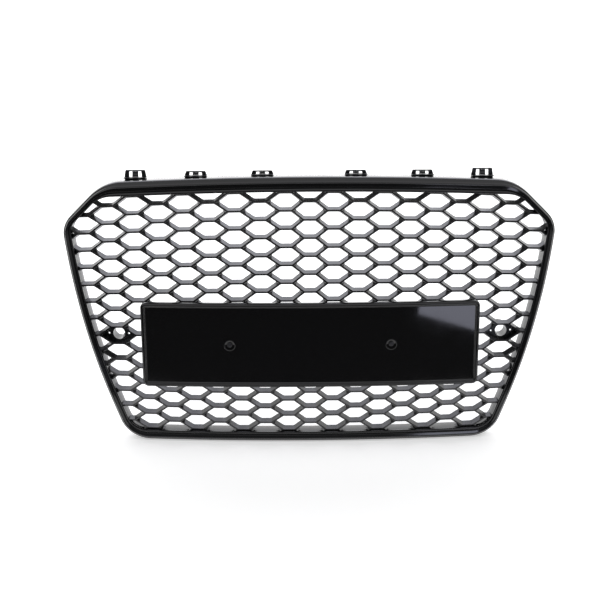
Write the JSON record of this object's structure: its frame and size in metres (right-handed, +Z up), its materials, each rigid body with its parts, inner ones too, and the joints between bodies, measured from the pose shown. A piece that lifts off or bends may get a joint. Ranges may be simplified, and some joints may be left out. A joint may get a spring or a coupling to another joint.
{
  "type": "car front grille",
  "caption": "Curved honeycomb front grille with a lipped surround, a number-plate carrier, parking-sensor holders and sprung top clips.",
  "frame": {"origin": "middle of the bounding box in X and Y, at the height of the lower edge that the grille stands on", "axes": "+X to the right of someone who faces the grille, +Y into the car, +Z up"},
  "size_m": [0.7878, 0.118, 0.4341],
  "materials": {
    "gloss_black_abs": "gloss black",
    "satin_black_abs": "satin black",
    "black_zinc_steel": "black zinc"
  },
  "bodies": {
    "root": {"surround_frame": "gloss_black_abs", "honeycomb_insert": "gloss_black_abs", "plate_carrier": "gloss_black_abs", "carrier_screw_left": "black_zinc_steel", "carrier_screw_right": "black_zinc_steel", "sensor_holder_left": "gloss_black_abs", "sensor_holder_right": "gloss_black_abs", "top_clip_1": "satin_black_abs", "top_clip_2": "satin_black_abs", "top_clip_3": "satin_black_abs", "top_clip_4": "satin_black_abs", "top_clip_5": "satin_black_abs", "top_clip_6": "satin_black_abs", "insert_screw_01": "black_zinc_steel", "insert_screw_02": "black_zinc_steel", "insert_screw_03": "black_zinc_steel", "insert_screw_04": "black_zinc_steel", "insert_screw_05": "black_zinc_steel", "insert_screw_06": "black_zinc_steel", "insert_screw_07": "black_zinc_steel", "insert_screw_08": "black_zinc_steel", "insert_screw_09": "black_zinc_steel", "insert_screw_10": "black_zinc_steel", "insert_screw_11": "black_zinc_steel", "insert_screw_12": "black_zinc_steel"},
    "clip_tongue_1": {"clip_tongue_1": "satin_black_abs"},
    "clip_tongue_2": {"clip_tongue_2": "satin_black_abs"},
    "clip_tongue_3": {"clip_tongue_3": "satin_black_abs"},
    "clip_tongue_4": {"clip_tongue_4": "satin_black_abs"},
    "clip_tongue_5": {"clip_tongue_5": "satin_black_abs"},
    "clip_tongue_6": {"clip_tongue_6": "satin_black_abs"},
    "sensor_latch_left": {"sensor_latch_left": "satin_black_abs"},
    "sensor_latch_right": {"sensor_latch_right": "satin_black_abs"}
  },
  "joints": [
    {"name": "clip_tongue_1_flex", "type": "hinge", "parent": "root", "child": "clip_tongue_1", "pos_m": [-0.281, 0.05799, 0.43176], "axis": [1, 0, 0], "range_deg": [0, 12], "stiffness_Nm_per_rad": 0.02},
    {"name": "clip_tongue_2_flex", "type": "hinge", "parent": "root", "child": "clip_tongue_2", "pos_m": [-0.1825, 0.04974, 0.43066], "axis": [1, 0, 0], "range_deg": [0, 12], "stiffness_Nm_per_rad": 0.02},
    {"name": "clip_tongue_3_flex", "type": "hinge", "parent": "root", "child": "clip_tongue_3", "pos_m": [-0.075, 0.04446, 0.43166], "axis": [1, 0, 0], "range_deg": [0, 12], "stiffness_Nm_per_rad": 0.02},
    {"name": "clip_tongue_4_flex", "type": "hinge", "parent": "root", "child": "clip_tongue_4", "pos_m": [0.075, 0.04446, 0.43166], "axis": [1, 0, 0], "range_deg": [0, 12], "stiffness_Nm_per_rad": 0.02},
    {"name": "clip_tongue_5_flex", "type": "hinge", "parent": "root", "child": "clip_tongue_5", "pos_m": [0.1825, 0.04974, 0.43066], "axis": [1, 0, 0], "range_deg": [0, 12], "stiffness_Nm_per_rad": 0.02},
    {"name": "clip_tongue_6_flex", "type": "hinge", "parent": "root", "child": "clip_tongue_6", "pos_m": [0.281, 0.05799, 0.43176], "axis": [1, 0, 0], "range_deg": [0, 12], "stiffness_Nm_per_rad": 0.02},
    {"name": "sensor_latch_left_flex", "type": "hinge", "parent": "root", "child": "sensor_latch_left", "pos_m": [-0.30225, -0.01184, 0.17292], "axis": [-0.766, 0, -0.6428], "range_deg": [0, 8], "stiffness_Nm_per_rad": 0.03},
    {"name": "sensor_latch_right_flex", "type": "hinge", "parent": "root", "child": "sensor_latch_right", "pos_m": [0.30225, -0.01184, 0.17292], "axis": [-0.766, 0, 0.6428], "range_deg": [0, 8], "stiffness_Nm_per_rad": 0.03}
  ]
}
